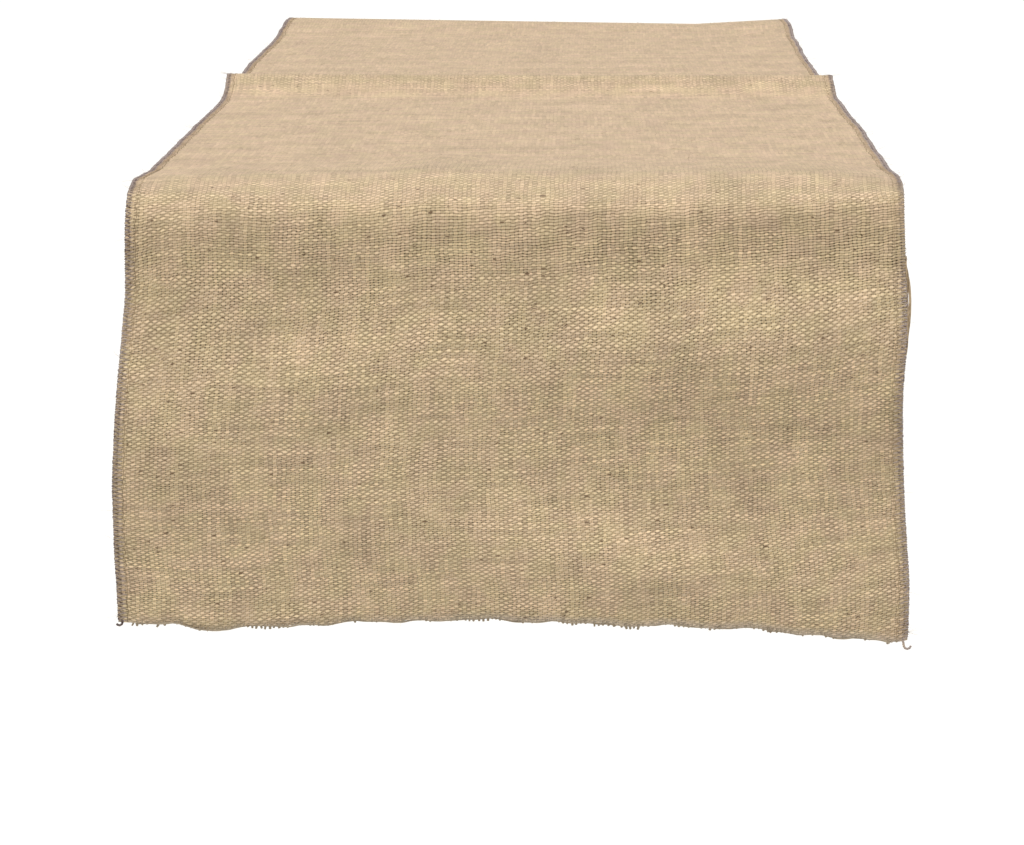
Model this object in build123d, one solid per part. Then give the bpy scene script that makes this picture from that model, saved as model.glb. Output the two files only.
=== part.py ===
from build123d import *
import os
from math import cos, radians, sin, tan

# A jute table runner lying over a table: a flat stretch with a raised fold crease across the
# middle, a rounded bend over each end of the table, and a hanging drop at each end. Both long
# edges are overlocked with three threads, and both short ends are raw cut.
# Millimetres. X runs across the runner, Y along it, -Y is the front drop, +Z is up.
# The origin is on the tabletop, midway between the table's two ends.

# ---- Cloth ----
CLOTH_WIDTH = 404.0
CLOTH_LENGTH = 1800.0          # along the cloth, from raw end to raw end
CLOTH_THICK = 1.2
TABLE_LENGTH = 1300.0

# ---- Bend over each end of the table: a long low crown, then a tight turn down ----
CROWN_RISE = 5.5               # of the underside at the crown, above the tabletop
CROWN_RADIUS = 600.0
CROWN_SLOPE = 4.0              # degrees, how far the crown leans down into the bend
SETTLE_SLOPE = 3.0             # degrees, slope by which the crown comes down to the table
SETTLE_RADIUS = 400.0
BEND_RADIUS = 13.0             # of the cloth's underside
BEND_BULGE = 11.0              # how far the bend stands out past the table
DROP_LEAN = 1.6                # degrees, each hanging end leans outwards by this

# ---- Fold crease across the middle ----
RIDGE_Y = -35.0                # place of the crest along the runner
RIDGE_HEIGHT = 12.0            # of the underside at the crest
RIDGE_RADIUS = 4.0             # of the underside at the crest
RIDGE_FRONT_SLOPE = 20.0       # degrees
RIDGE_BACK_SLOPE = 6.0         # degrees
RIDGE_FRONT_FOOT = 66.0        # radius where the front slope meets the table
RIDGE_BACK_FOOT = 150.0        # radius where the back slope meets the table

# ---- Raw front end: height of the cut edge across the runner ----
HEM_LEFT = -225.0
HEM_MIDDLE = -222.0
HEM_RIGHT = -234.0
HEM_MIDDLE_X = 50.0

# ---- Overlocked side edges ----
SEAM_WIDTH = 5.5               # from the outer edge to the inner side of the needle line
NEEDLE_WIDTH = 0.6
THREAD_LAYER = 0.35            # thickness of the looper threads over and under the cloth

# ---- Loose end yarns: how far each one sags from the cut edge at even steps across ----
YARN_RADIUS = 0.55
YARN_GAP = 0.05                # between the yarn and the cut edge where they are closest
YARN_INSET = 9.0               # from the side edge to the end of the yarn
FRONT_YARN_SAG = (0.4, 0.0, 1.1, 0.2, 0.0, 0.9, 0.1, 1.4, 0.0)
BACK_YARN_SAG = (0.0, 0.8, 0.1, 1.5, 0.3, 0.0, 1.0, 0.2, 0.6)

# ---- Thread tails chained off past the corners ----
TAIL_RADIUS = 0.5
TAIL_HOOK_RADIUS = 1.7
TAIL_HOOK_TURN = 150.0         # degrees

HALF_WIDTH = CLOTH_WIDTH / 2
MID_THICK = CLOTH_THICK / 2


def rise_of_arc(degrees):
    """How far an arc of radius 1 that starts level rises over a turn of this many degrees."""
    return 1 - cos(radians(degrees))


def slope_length(height, radii, degrees):
    """Length of the straight slope that, with an arc at each end, climbs to this height."""
    return (height - sum(radii) * rise_of_arc(degrees)) / sin(radians(degrees))


def slope_reach(run, radii, degrees):
    """Level distance covered by a straight slope and the arc at each of its ends."""
    return run * cos(radians(degrees)) + sum(radii) * sin(radians(degrees))


# Straight slopes beside the crowns, and the level distances that they cover
crown_radii = (CROWN_RADIUS, SETTLE_RADIUS)
front_radii = (RIDGE_RADIUS, RIDGE_FRONT_FOOT)
back_radii = (RIDGE_RADIUS, RIDGE_BACK_FOOT)
settle_run = slope_length(CROWN_RISE, crown_radii, SETTLE_SLOPE)
climb_run = slope_length(RIDGE_HEIGHT, front_radii, RIDGE_FRONT_SLOPE)
descent_run = slope_length(RIDGE_HEIGHT, back_radii, RIDGE_BACK_SLOPE)
bend_centre = TABLE_LENGTH / 2 + BEND_BULGE - BEND_RADIUS
crown_y = bend_centre - (CROWN_RADIUS - BEND_RADIUS) * sin(radians(CROWN_SLOPE))
flat_outer = crown_y - slope_reach(settle_run, crown_radii, SETTLE_SLOPE)
front_flat_inner = RIDGE_Y - slope_reach(climb_run, front_radii, RIDGE_FRONT_SLOPE)
back_flat_inner = RIDGE_Y + slope_reach(descent_run, back_radii, RIDGE_BACK_SLOPE)

# The two hanging ends: the front one ends at its lowest corner, and the back one takes the
# rest of the cloth's length.
bend_turn = 90 - DROP_LEAN - CROWN_SLOPE
crown_turn = CROWN_SLOPE + SETTLE_SLOPE
bend_centre_z = CROWN_RISE - CROWN_RADIUS + (CROWN_RADIUS - BEND_RADIUS) * cos(radians(CROWN_SLOPE))
drop_top = bend_centre_z + BEND_RADIUS * sin(radians(DROP_LEAN))
front_drop_run = (drop_top - HEM_RIGHT) / cos(radians(DROP_LEAN))
front_start_y = -bend_centre - BEND_RADIUS * cos(radians(DROP_LEAN))
front_start_y -= front_drop_run * sin(radians(DROP_LEAN))

# The underside seen from the side, from the front raw end up to the back drop: each step is a
# straight run, or an arc of a radius and a turn in degrees, anticlockwise turns positive.
DRAPE = [
    ("run", front_drop_run),
    ("arc", BEND_RADIUS, -bend_turn),
    ("arc", CROWN_RADIUS, -crown_turn),
    ("run", settle_run),
    ("arc", SETTLE_RADIUS, SETTLE_SLOPE),
    ("run", flat_outer + front_flat_inner),
    ("arc", RIDGE_FRONT_FOOT, RIDGE_FRONT_SLOPE),
    ("run", climb_run),
    ("arc", RIDGE_RADIUS, -RIDGE_FRONT_SLOPE - RIDGE_BACK_SLOPE),
    ("run", descent_run),
    ("arc", RIDGE_BACK_FOOT, RIDGE_BACK_SLOPE),
    ("run", flat_outer - back_flat_inner),
    ("arc", SETTLE_RADIUS, SETTLE_SLOPE),
    ("run", settle_run),
    ("arc", CROWN_RADIUS, -crown_turn),
    ("arc", BEND_RADIUS, -bend_turn),
]


def step_length(step):
    """Length of one step of the drape along the underside."""
    return step[1] if step[0] == "run" else step[1] * radians(abs(step[2]))


back_drop_run = CLOTH_LENGTH - sum(step_length(step) for step in DRAPE)
DRAPE.append(("run", back_drop_run))


def drape_edges(height):
    """The side view of the drape as edges in (y, z), at this height above the underside."""
    heading = 90 - DROP_LEAN
    outwards = Vector(-sin(radians(heading)), cos(radians(heading)))
    point = Vector(front_start_y, HEM_RIGHT) + outwards * height
    edges = []
    for step in DRAPE:
        along = Vector(cos(radians(heading)), sin(radians(heading)))
        if step[0] == "run":
            edge = Line(point, point + along * step[1])
        else:
            radius = step[1] - height if step[2] > 0 else step[1] + height
            edge = JernArc(start=point, tangent=along, radius=radius, arc_size=step[2])
            heading += step[2]
        edges.append(edge)
        point = edge @ 1
    return edges


def drape_layer(low, high, x_from, x_to):
    """The part of the drape between two heights above the underside and two places across."""
    under = drape_edges(low)
    over = drape_edges(high)
    front_cap = Line(under[0] @ 0, over[0] @ 0)
    back_cap = Line(under[-1] @ 1, over[-1] @ 1)
    side_view = Face(Wire(under + over + [front_cap, back_cap]))
    return extrude(Plane.YZ.offset(x_from) * side_view, amount=x_to - x_from)


def end_plane(end):
    """The middle of a hanging end's thickness, end -1 for the front and 1 for the back.
    Local x is across the runner, and local y goes up the cloth from its lowest point."""
    middle = drape_edges(MID_THICK)
    foot = middle[0] @ 0 if end < 0 else middle[-1] @ 1
    lean = radians(DROP_LEAN)
    return Plane(
        origin=(0, foot.X, foot.Y),
        x_dir=(1, 0, 0),
        z_dir=(0, -cos(lean), -end * sin(lean)),
    )


def front_cut_height(x):
    """Height of the front cut edge above the lowest point of the cloth, going up the cloth."""
    inner = HALF_WIDTH - SEAM_WIDTH
    if x < HEM_MIDDLE_X:
        share = max(0.0, (x + inner) / (HEM_MIDDLE_X + inner))
        z = HEM_LEFT + share * (HEM_MIDDLE - HEM_LEFT)
    else:
        share = min(1.0, (x - HEM_MIDDLE_X) / (inner - HEM_MIDDLE_X))
        z = HEM_MIDDLE + share * (HEM_RIGHT - HEM_MIDDLE)
    return (z - HEM_RIGHT) / cos(radians(DROP_LEAN))


def front_waste():
    """What is cut away below the front raw end, through the cloth and its seam threads."""
    margin = 20.0
    outer = HALF_WIDTH + margin
    inner = HALF_WIDTH - SEAM_WIDTH
    points = [(x, front_cut_height(x)) for x in (-outer, -inner, HEM_MIDDLE_X, inner, outer)]
    points += [(outer, -margin), (-outer, -margin)]
    outline = Face(Wire(Polyline(points, close=True).edges()))
    return extrude(end_plane(-1) * outline, amount=margin, both=True)


def side_strip(side, low, high, outer, inner):
    """A layer along one side edge, side -1 for left. outer and inner are in from the edge."""
    across = sorted((side * (HALF_WIDTH - outer), side * (HALF_WIDTH - inner)))
    return drape_layer(low, high, across[0], across[1]) - front_waste()


def cloth():
    """The woven cloth: full thickness in the field, pressed thin under the seam threads."""
    field_reach = HALF_WIDTH - SEAM_WIDTH
    seam_reach = HALF_WIDTH - THREAD_LAYER
    field = drape_layer(0, CLOTH_THICK, -field_reach, field_reach)
    pressed = drape_layer(THREAD_LAYER, CLOTH_THICK - THREAD_LAYER, -seam_reach, seam_reach)
    return field + pressed - front_waste()


def needle_thread(side):
    """The straight line of needle stitches, its runs above and below the cloth."""
    outer = SEAM_WIDTH - NEEDLE_WIDTH
    above = side_strip(side, CLOTH_THICK - THREAD_LAYER, CLOTH_THICK, outer, SEAM_WIDTH)
    below = side_strip(side, 0, THREAD_LAYER, outer, SEAM_WIDTH)
    return Compound(children=[above, below])


def looper_thread(side, upper):
    """A looper thread: over one face from the needle line, then half way round the edge."""
    inner = SEAM_WIDTH - NEEDLE_WIDTH
    if upper:
        face = side_strip(side, CLOTH_THICK - THREAD_LAYER, CLOTH_THICK, 0, inner)
        wrap = side_strip(side, MID_THICK, CLOTH_THICK - THREAD_LAYER, 0, THREAD_LAYER)
    else:
        face = side_strip(side, 0, THREAD_LAYER, 0, inner)
        wrap = side_strip(side, THREAD_LAYER, MID_THICK, 0, THREAD_LAYER)
    return face + wrap


def tube(path, radius):
    """A round strand of this radius along a path."""
    section = Plane(origin=path @ 0, z_dir=path % 0) * Circle(radius)
    return sweep(section, path=path)


def thread_tail(end, side, run):
    """A chained-off tail at a corner: straight down from the seam, then a hook outwards."""
    corner = (side * (HALF_WIDTH - SEAM_WIDTH / 2), 0)
    if end < 0:
        corner = (corner[0], front_cut_height(corner[0]))
    straight = Line(corner, (corner[0], corner[1] - run))
    hook = JernArc(
        start=straight @ 1,
        tangent=(0, -1, 0),
        radius=TAIL_HOOK_RADIUS,
        arc_size=side * TAIL_HOOK_TURN,
    )
    return tube(end_plane(end) * Wire([straight, hook]), TAIL_RADIUS)


def arc_radii(points):
    """For each inner point of a route, the radius that takes 0.45 of the shorter run beside it."""
    radii = []
    for before, here, after in zip(points, points[1:], points[2:]):
        arriving = Vector(here) - Vector(before)
        leaving = Vector(after) - Vector(here)
        half_turn = radians(arriving.get_angle(leaving)) / 2
        radii.append(0.45 * min(arriving.length, leaving.length) / tan(half_turn))
    return radii


def end_yarn(end, sags):
    """The outermost weft yarn, worked loose, lying just below a raw end from side to side."""
    reach = HALF_WIDTH - YARN_INSET
    points = []
    for i, sag in enumerate(sags):
        x = -reach + 2 * reach * i / (len(sags) - 1)
        cut = front_cut_height(x) if end < 0 else 0.0
        points.append((x, cut - YARN_RADIUS - 2 * YARN_GAP - sag))
    route = FilletPolyline(*points, radius=arc_radii(points))
    return tube(end_plane(end) * Wire(route.edges()), YARN_RADIUS)


nodes = {
    "hessian_panel": cloth(),
    "front_loose_weft_yarn": end_yarn(-1, FRONT_YARN_SAG),
    "back_loose_weft_yarn": end_yarn(1, BACK_YARN_SAG),
    "front_left_thread_tail": thread_tail(-1, -1, run=1.5),
    "front_right_thread_tail": thread_tail(-1, 1, run=4.0),
    "back_left_thread_tail": thread_tail(1, -1, run=6.0),
    "back_right_thread_tail": thread_tail(1, 1, run=3.0),
}
for name, side in (("left", -1), ("right", 1)):
    nodes[f"{name}_needle_thread"] = needle_thread(side)
    nodes[f"{name}_upper_looper_thread"] = looper_thread(side, upper=True)
    nodes[f"{name}_lower_looper_thread"] = looper_thread(side, upper=False)

os.makedirs("parts", exist_ok=True)
for name, shape in nodes.items():
    export_step(shape, f"parts/{name}.step")
print(f"hanging ends {front_drop_run:.1f} at the front, {back_drop_run:.1f} at the back")
print(f"crown at {crown_y:.1f}, bend centre at {bend_centre:.1f}, {bend_centre_z:.1f}")
print(f"rests on the table from {front_flat_inner:.1f} and {back_flat_inner:.1f} to {flat_outer:.1f}")
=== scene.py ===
from math import cos, pi, radians, sin

import bpy
import numpy as np
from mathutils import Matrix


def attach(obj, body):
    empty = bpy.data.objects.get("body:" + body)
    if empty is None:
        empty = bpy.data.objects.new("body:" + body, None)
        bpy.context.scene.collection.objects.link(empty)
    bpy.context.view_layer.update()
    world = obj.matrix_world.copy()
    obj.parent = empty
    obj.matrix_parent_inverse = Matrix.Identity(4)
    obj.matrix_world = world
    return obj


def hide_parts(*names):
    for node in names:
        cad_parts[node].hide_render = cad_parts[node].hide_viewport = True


# A jute table runner lying over a table that isn't shown: one continuous woven cloth, overlocked
# along both long edges and raw cut at both ends. Metres, in the CAD frame: X across, Y along,
# -Y is the front drop, +Z is up, and the tabletop is z = 0.

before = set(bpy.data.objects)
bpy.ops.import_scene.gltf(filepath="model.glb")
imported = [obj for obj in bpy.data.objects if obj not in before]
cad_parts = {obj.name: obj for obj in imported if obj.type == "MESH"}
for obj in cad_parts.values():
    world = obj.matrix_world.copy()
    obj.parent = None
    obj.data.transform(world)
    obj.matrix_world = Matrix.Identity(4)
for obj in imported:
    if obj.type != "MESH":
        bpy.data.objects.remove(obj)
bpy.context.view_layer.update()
rng = np.random.default_rng(41)

MM = 0.001

# ---- Cloth ----
CLOTH_WIDTH = 404 * MM
CLOTH_THICK = 1.2 * MM
SEAM_THICK = 0.8 * MM           # the cloth is pressed this thin under the edge threads
SEAM_WIDTH = 5 * MM
EDGE_INSET = 0.35 * MM          # of the cloth inside the outline, which the threads fill
HALF_TABLE = 650 * MM
WARP_COUNT = 178                # yarns across the cloth
COLUMNS = 101
FINE_STEP = 0.5 * MM            # of the side view before it is cut into rows
FINE_REACH = 960 * MM

# ---- Crown and bend over each end of the table. A list of five has a value for each of the
# ACROSS places, where 0 is the left edge and 1 the right ----
ACROSS = (0.0, 0.3, 0.6, 0.82, 1.0)
BACK_CROWN_RISE = (6.6 * MM, 4.8 * MM, 3.0 * MM, 1.8 * MM, 6.0 * MM)
FRONT_BEND_RADIUS = (18 * MM, 12 * MM, 8 * MM, 6.5 * MM, 6 * MM)
BACK_BEND_RADIUS = (14 * MM, 14 * MM, 13 * MM, 13 * MM, 14 * MM)
BACK_CROWN_RADIUS = 600 * MM
BACK_CROWN_SLOPE = 4.0          # degrees, how far the crown leans down into the bend
# At the front the crown turns down over a short shoulder: places across, the crown's height in
# millimetres and the shoulder's lean in degrees
FRONT_CROWN = (
    (0.0, 4.4, 8), (0.08, 6.2, 15), (0.32, 7.8, 22), (0.39, 9.8, 25), (0.50, 8.2, 24),
    (0.64, 7.8, 23), (0.82, 8.6, 24), (0.91, 8.6, 22), (1.0, 4.8, 9),
)
FRONT_CROWN_RADIUS = 55 * MM
SHOULDER = 15 * MM
SETTLE_RADIUS = 400 * MM
SETTLE_SLOPE = 3.0              # degrees, how the cloth leaves the tabletop
BEND_BULGE = 12 * MM            # how far a bend stands out past the table

# ---- Hanging ends ----
FRONT_LEAN = 2.3                # degrees, the lower part leans outwards going down
FRONT_TUCK = (6.0, 6.5, 7.0, 8.5, 8.0)   # degrees, the part just under the bend leans inwards
TUCK_LENGTH = (20 * MM, 17 * MM, 13 * MM, 10 * MM, 10 * MM)
TUCK_TURN_LENGTH = 26 * MM
BACK_LEAN = 1.6                 # degrees
BACK_DROP = 244 * MM
BACK_FOLD_SHARE = 0.7           # of a front fold's depth, on the back end
CUT_PLACE = -870 * MM           # about where the front end is cut, along the cloth
BELOW_BEND = 20 * MM            # down from the tabletop, where a bend has ended

# Soft folds across the hanging ends, in millimetres: height at the left and at the right edge,
# half width, how far it stands out, place of its middle across, and half length
FOLDS = (
    (-90, -74, 27, 14, 130, 120),
    (-98, -88, 18, 4, -150, 150),
    (-130, -140, 42, 10, -170, 120),
    (-168, -208, 21, 9, 70, 140),
)

# ---- Raised fold crease across the middle ----
RIDGE_Y = (-31 * MM, -31.5 * MM, -32 * MM, -32.5 * MM, -33 * MM)
RIDGE_HEIGHT = (13.0 * MM, 12.6 * MM, 12.2 * MM, 12.2 * MM, 12.6 * MM)
RIDGE_RADIUS = 4 * MM
RIDGE_FRONT_SLOPE = 20.0        # degrees
RIDGE_BACK_SLOPE = 6.0
RIDGE_FRONT_FOOT = 66 * MM      # radius where the front slope meets the table
RIDGE_BACK_FOOT = 150 * MM

# ---- Outline, in millimetres: the side edges at places along the cloth, and the height of the
# cut edge at places across ----
LEFT_EDGE = (
    (-900, -207.6), (-870, -209.0), (-840, -209.8), (-800, -209.4), (-775, -208.0),
    (-745, -205.5), (-722, -204.2), (-713, -202.6), (-660, -201.4), (-560, -201.6),
    (-250, -201.4), (-95, -200.6), (-31, -200.6), (20, -203.4), (110, -204.4),
    (240, -207.0), (420, -206.6), (560, -206.4), (660, -206.4), (900, -204.5),
)
RIGHT_EDGE = (
    (-900, 206.6), (-862, 207.6), (-848, 206.8), (-830, 204.6), (-790, 202.7),
    (-757, 202.3), (-742, 203.2), (-735, 204.3), (-695, 203.8), (-664, 202.2),
    (-560, 204.6), (-330, 205.4), (-140, 203.6), (-31, 201.8), (30, 203.4), (130, 201.8),
    (300, 201.2), (480, 202.4), (560, 203.8), (640, 202.6), (900, 203.5),
)
FRONT_HEM = (
    (-208, -225.4), (-180, -224.6), (-152, -227.6), (-112, -223.8), (-70, -223.0),
    (-20, -222.4), (35, -223.2), (85, -224.0), (124, -226.0), (150, -229.3),
    (176, -231.5), (206, -232.4),
)

# ---- Weft spacing at places along the cloth, in millimetres per yarn ----
WEFT_PITCH = (
    (-900, 1.32), (-880, 1.22), (-845, 1.12), (-800, 1.20), (-768, 1.24),
    (-745, 1.42), (-600, 1.45), (-500, 1.34), (900, 1.34),
)
MEAN_WEFT_PITCH = 1.3 * MM
WEFT_WANDER = 8.8               # how strongly the weft yarns wave
WEFT_SKEW = 0.052               # rise of a weft yarn per length across, at the middle
WEFT_SKEW_CHANGE = 0.083        # per metre, the yarns rise more steeply on the right

# ---- Overlocked side edges ----
STITCH = 2.45 * MM
LOOP_RADIUS = 0.30 * MM
NEEDLE_RADIUS = 0.17 * MM


def across_value(stations, t):
    """A value given at the ACROSS places, at t across the cloth."""
    return np.interp(t, ACROSS, stations)


def measured(stations, s):
    """A table of (place, value), both in millimetres, at places s in metres."""
    places, values = np.array(stations).T * MM
    return np.interp(s, places, values)


def listed(stations, s):
    """A table of (place in millimetres, value), at places s in metres."""
    places, values = np.array(stations).T
    return np.interp(s, places * MM, values)


def smooth(values, width, step):
    """The values with a Gaussian blur of this width, along the first axis."""
    reach = int(4 * width / step) + 1
    offsets = np.arange(-reach, reach + 1) * step
    weights = np.exp(-0.5 * (offsets / width) ** 2)
    weights /= weights.sum()
    padded = np.concatenate([
        np.repeat(values[:1], reach, axis=0), values, np.repeat(values[-1:], reach, axis=0)
    ])
    flat = padded.reshape(len(padded), -1)
    blurred = [np.convolve(column, weights, mode="valid") for column in flat.T]
    return np.array(blurred).T.reshape(values.shape)


def wander(count, step, width, size):
    """A smooth random line of this many values, with this standard deviation."""
    line = smooth(rng.normal(size=count), width, step)
    return line * size / line.std()


def ramp(low, high, x):
    """0 below low, 1 above high, and an eased step between."""
    share = np.clip((x - low) / (high - low), 0, 1)
    return share * share * (3 - 2 * share)


# ---- The side view of the drape ----
def slope_length(height, radii, degrees):
    """Length of the straight slope that, with an arc at each end, climbs to this height."""
    return (height - sum(radii) * (1 - cos(radians(degrees)))) / sin(radians(degrees))


def slope_reach(run, radii, degrees):
    """Level distance covered by a straight slope and the arc at each of its ends."""
    return run * cos(radians(degrees)) + sum(radii) * sin(radians(degrees))


def crown_part(rise, radius, lean, shoulder, bend_radius):
    """Steps from the flat up over the crown, and where the flat ends, for one end of the table.
    Each step is a length along the cloth and a turn in degrees."""
    run = slope_length(rise, (radius, SETTLE_RADIUS), SETTLE_SLOPE)
    crown_y = HALF_TABLE + BEND_BULGE - bend_radius
    crown_y -= (radius - bend_radius) * sin(radians(lean)) + shoulder * cos(radians(lean))
    flat_end = crown_y - slope_reach(run, (radius, SETTLE_RADIUS), SETTLE_SLOPE)
    turn = SETTLE_SLOPE + lean
    steps = [
        (SETTLE_RADIUS * radians(SETTLE_SLOPE), SETTLE_SLOPE),
        (run, 0),
        (radius * radians(turn), -turn),
        (shoulder, 0),
    ]
    return steps, flat_end


def side_view(t):
    """Heading of the cloth in degrees at each fine step, and where the front flat begins."""
    front_radius = across_value(FRONT_BEND_RADIUS, t)
    back_radius = across_value(BACK_BEND_RADIUS, t)
    crown_t, crown_rises, crown_leans = np.array(FRONT_CROWN).T
    front_rise = np.interp(t, crown_t, crown_rises) * MM
    front_crown_lean = np.interp(t, crown_t, crown_leans)
    front_crown, front_flat = crown_part(
        front_rise, FRONT_CROWN_RADIUS, front_crown_lean, SHOULDER, front_radius
    )
    back_crown, back_flat = crown_part(
        across_value(BACK_CROWN_RISE, t), BACK_CROWN_RADIUS, BACK_CROWN_SLOPE, 0.0, back_radius
    )
    ridge_y = across_value(RIDGE_Y, t)
    ridge_height = across_value(RIDGE_HEIGHT, t)
    climb_radii = (RIDGE_RADIUS, RIDGE_FRONT_FOOT)
    descent_radii = (RIDGE_RADIUS, RIDGE_BACK_FOOT)
    climb = slope_length(ridge_height, climb_radii, RIDGE_FRONT_SLOPE)
    descent = slope_length(ridge_height, descent_radii, RIDGE_BACK_SLOPE)
    ridge_start = ridge_y - slope_reach(climb, climb_radii, RIDGE_FRONT_SLOPE)
    ridge_end = ridge_y + slope_reach(descent, descent_radii, RIDGE_BACK_SLOPE)
    ridge_turn = RIDGE_FRONT_SLOPE + RIDGE_BACK_SLOPE

    inwards = [
        (front_flat + ridge_start, 0),
        (RIDGE_FRONT_FOOT * radians(RIDGE_FRONT_SLOPE), RIDGE_FRONT_SLOPE),
        (climb, 0),
        (RIDGE_RADIUS * radians(ridge_turn), -ridge_turn),
        (descent, 0),
        (RIDGE_BACK_FOOT * radians(RIDGE_BACK_SLOPE), RIDGE_BACK_SLOPE),
        (back_flat - ridge_end, 0),
    ]
    back_turn = 90 - BACK_LEAN - BACK_CROWN_SLOPE
    back = back_crown + [(back_radius * radians(back_turn), -back_turn)]
    tuck = across_value(FRONT_TUCK, t)
    front_turn = 90 + tuck - front_crown_lean
    outwards = front_crown + [
        (front_radius * radians(front_turn), -front_turn),
        (across_value(TUCK_LENGTH, t), 0),
        (TUCK_TURN_LENGTH, tuck + FRONT_LEAN),
    ]
    place, heading = -front_flat, 0.0
    knots = [(place, heading)]
    for length, turn in inwards + back:
        place += length
        heading += turn
        knots.append((place, heading))
    place, heading = -front_flat, 0.0
    for length, turn in outwards:
        place -= length
        heading -= turn
        knots.insert(0, (place, heading))
    return np.interp(fine, *np.array(knots).T), -front_flat


def fold(x, z, at_left, at_right, width, size, centre, reach):
    """How far a soft fold across the hanging end stands out, at places across and in height."""
    line = at_left + (at_right - at_left) * (x / CLOTH_WIDTH + 0.5)
    along = np.exp(-((x - centre) / reach) ** 2)
    return size * along * np.exp(-((z - line) / width) ** 2)


HEADING_BLUR = 3 * MM
EDGE_BLUR = 9 * MM
EDGE_WANDER = 0.20 * MM
FRONT_HEM_WANDER = 0.65 * MM
BACK_HEM_WANDER = 1.2 * MM
fine = np.arange(-FINE_REACH, FINE_REACH + FINE_STEP, FINE_STEP)
places_across = np.linspace(0, 1, COLUMNS)
views = [side_view(t) for t in places_across]
headings = smooth(np.array([view[0] for view in views]).T, HEADING_BLUR, FINE_STEP)
middle = (headings[1:] + headings[:-1]) / 2
rise_y = np.vstack([np.zeros(COLUMNS), np.cumsum(np.cos(np.radians(middle)), axis=0)]) * FINE_STEP
rise_z = np.vstack([np.zeros(COLUMNS), np.cumsum(np.sin(np.radians(middle)), axis=0)]) * FINE_STEP
for column, (_, start) in enumerate(views):
    rise_y[:, column] += start - np.interp(start, fine, rise_y[:, column])
    rise_z[:, column] -= np.interp(start, fine, rise_z[:, column])
    # The blur leaves the back flat a hair off the table, so the ridge takes up the difference
    slip = np.interp(300 * MM, fine, rise_z[:, column])
    rise_z[:, column] -= slip * ramp(-30 * MM, 100 * MM, fine)

left_x, right_x = (
    smooth(measured(outline, fine), EDGE_BLUR, FINE_STEP)
    + wander(len(fine), FINE_STEP, EDGE_BLUR, EDGE_WANDER)
    for outline in (LEFT_EDGE, RIGHT_EDGE)
)

# ---- Where each column is cut at the two ends ----
cut_left, cut_right = (np.interp(CUT_PLACE, fine, line) for line in (left_x, right_x))
column_x = cut_left * (1 - places_across) + cut_right * places_across
hem_z = measured(FRONT_HEM, column_x) + wander(COLUMNS, 1, 1.1, FRONT_HEM_WANDER)
front_half = fine < 0
front_cut = np.array([
    np.interp(hem_z[c], rise_z[front_half, c], fine[front_half]) for c in range(COLUMNS)
])
back_end = np.array([
    fine[np.argmax((rise_z[:, c] < -BELOW_BEND) & (fine > 0))] for c in range(COLUMNS)
])
back_cut = back_end + BACK_DROP - BELOW_BEND + wander(COLUMNS, 1, 5, BACK_HEM_WANDER)

# ---- Rows: close together over the ridge and the bends, wider on the flats ----
CLOSE = 2.1 * MM
MEDIUM = 4.1 * MM
WIDE = 5.6 * MM
BEND_START, BEND_END = 635 * MM, 700 * MM
RIDGE_START, RIDGE_END = -85 * MM, 0.0
row_step = np.where(np.abs(fine) > BEND_END, MEDIUM, WIDE)
row_step = np.where((np.abs(fine) > BEND_START) & (np.abs(fine) < BEND_END), CLOSE, row_step)
row_step = np.where((fine > RIDGE_START) & (fine < RIDGE_END), CLOSE, row_step)
row_count_at = np.concatenate([[0], np.cumsum(FINE_STEP / row_step[:-1])])
FRONT_JOIN = -720 * MM          # beyond these two places the rows spread out to meet the cut edge
BACK_JOIN = 720 * MM


def rows_between(start, end):
    """Places of rows from start to end, at the spacing of each part."""
    first, last = np.interp((start, end), fine, row_count_at)
    steps = max(2, int(round(last - first)))
    return np.interp(np.linspace(first, last, steps + 1), row_count_at, fine)


front_rows = rows_between(front_cut.mean(), FRONT_JOIN)
middle_rows = rows_between(FRONT_JOIN, BACK_JOIN)
back_rows = rows_between(BACK_JOIN, back_cut.mean())
front_share = (FRONT_JOIN - front_rows) / (FRONT_JOIN - front_rows[0])
back_share = (back_rows - BACK_JOIN) / (back_rows[-1] - BACK_JOIN)
columns_along = []
for c in range(COLUMNS):
    to_front = FRONT_JOIN - front_share * (FRONT_JOIN - front_cut[c])
    to_back = BACK_JOIN + back_share * (back_cut[c] - BACK_JOIN)
    columns_along.append(np.concatenate([to_front[:-1], middle_rows, to_back[1:]]))
along = np.array(columns_along).T
ROWS = len(along)

# ---- The middle surface of the cloth ----
grid = np.zeros((ROWS, COLUMNS, 3))
for c, t in enumerate(places_across):
    left = np.interp(along[:, c], fine, left_x)
    right = np.interp(along[:, c], fine, right_x)
    grid[:, c, 0] = (left + EDGE_INSET) * (1 - t) + (right - EDGE_INSET) * t
    grid[:, c, 1] = np.interp(along[:, c], fine, rise_y[:, c])
    grid[:, c, 2] = np.interp(along[:, c], fine, rise_z[:, c])

ripple = smooth(smooth(rng.normal(size=(ROWS, COLUMNS)), 9, 1).T, 5, 1).T
ripple /= ripple.std()
HANGING_RIPPLE = 0.9 * MM
TABLE_RIPPLE = 0.45 * MM
FLAT_REACH = 600 * MM           # the cloth lies on the table up to about this far from its middle
x, y, z = grid[..., 0], grid[..., 1], grid[..., 2]
hangs = ramp(12 * MM, 60 * MM, -z)
on_table = 1 - ramp(FLAT_REACH, 645 * MM, np.abs(y))
folds = sum(fold(x, z, *np.array(settings) * MM) for settings in FOLDS)
y += np.where(y < 0, -folds, BACK_FOLD_SHARE * folds) * hangs
y += HANGING_RIPPLE * ripple * hangs * ramp(30 * MM, 150 * MM, -z)
z += TABLE_RIPPLE * np.clip(ripple - 0.3, 0, None) * on_table
z += CLOTH_THICK / 2
z[:] = np.where(np.abs(y) < FLAT_REACH, np.maximum(z, CLOTH_THICK / 2), z)


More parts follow.
